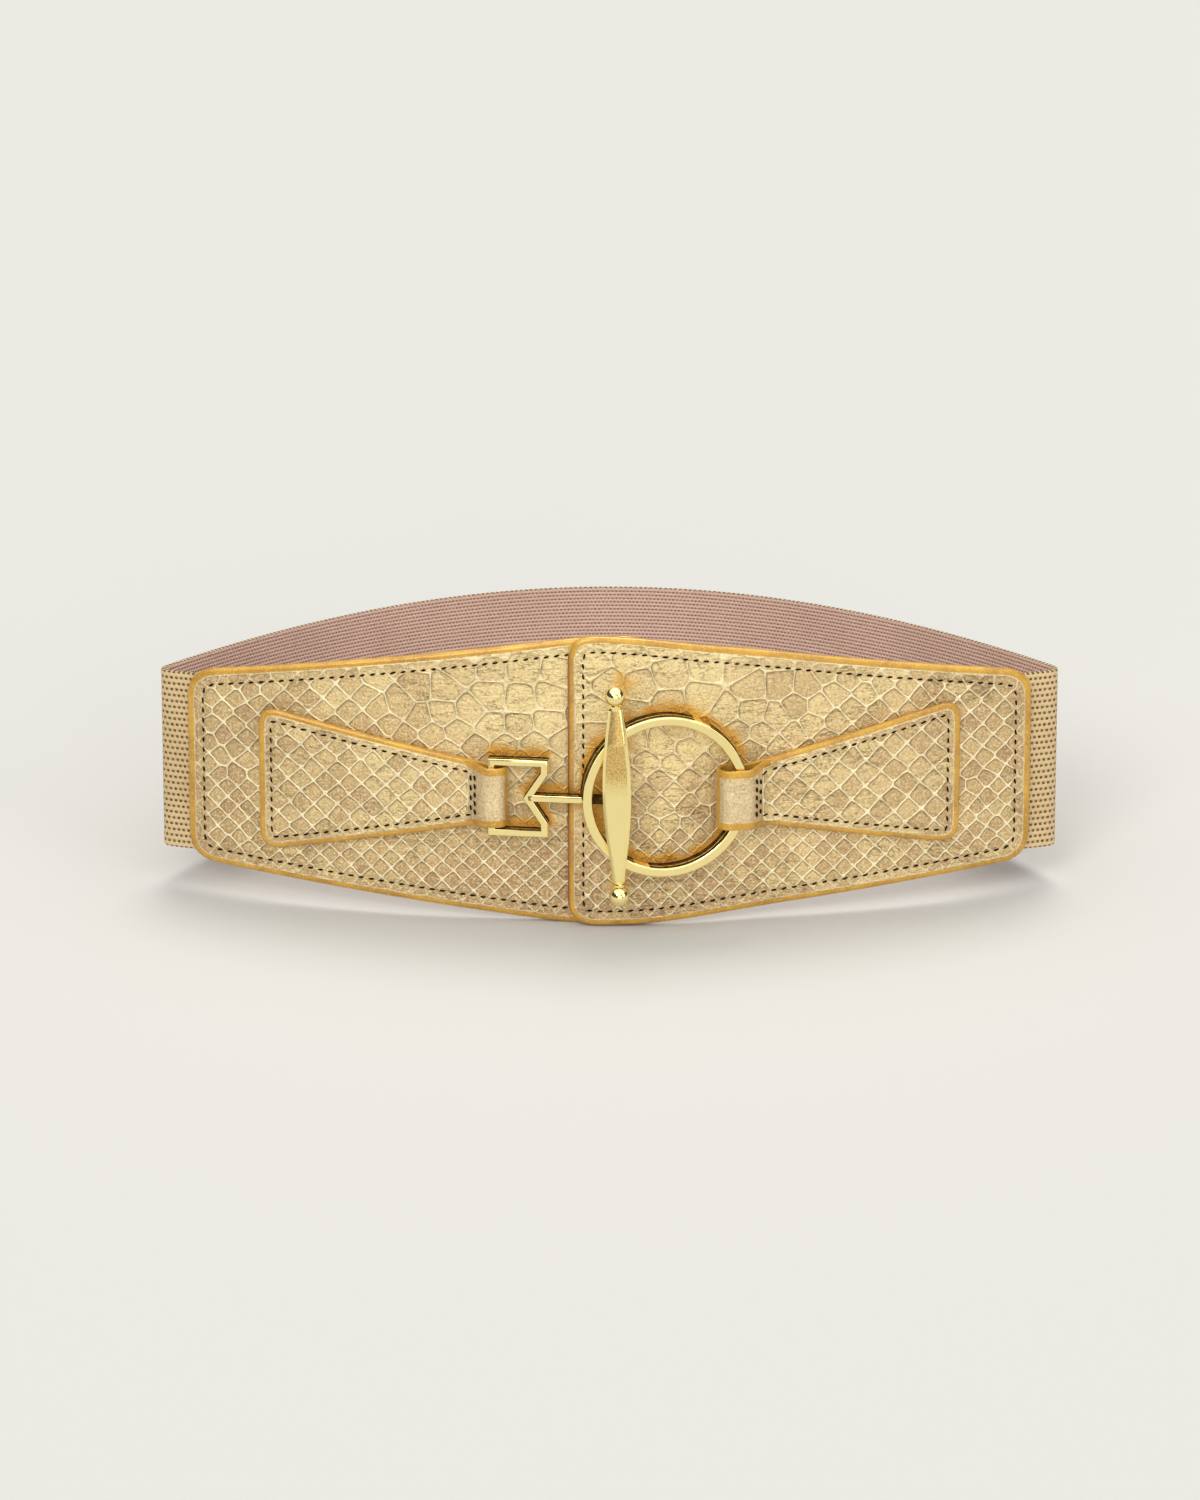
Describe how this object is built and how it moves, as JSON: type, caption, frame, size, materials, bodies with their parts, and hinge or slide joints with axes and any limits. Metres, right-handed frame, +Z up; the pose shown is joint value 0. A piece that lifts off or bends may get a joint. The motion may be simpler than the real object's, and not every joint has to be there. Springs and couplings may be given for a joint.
{
  "type": "waist belt",
  "caption": "Wide elastic waist belt with two tapering leather fronts that lap in the middle, closed by an upright toggle passed through a ring held in leather tabs.",
  "frame": {"origin": "middle of the overall box's base, on the surface that the belt stands on", "axes": "+Z up, the belt's front towards -Y, its ends at -X and +X"},
  "size_m": [0.2932, 0.1554, 0.0976],
  "materials": {
    "webbing": "ribbed, gold outside, mauve-brown inside",
    "leather": "metallic gold, embossed scales",
    "gilt_metal": "polished"
  },
  "bodies": {
    "root": {"elastic_band": "webbing", "left_front": "leather", "right_front": "leather", "left_tab": "leather", "right_tab": "leather", "toggle_bracket": "gilt_metal", "clasp_ring": "gilt_metal"}
  },
  "joints": []
}
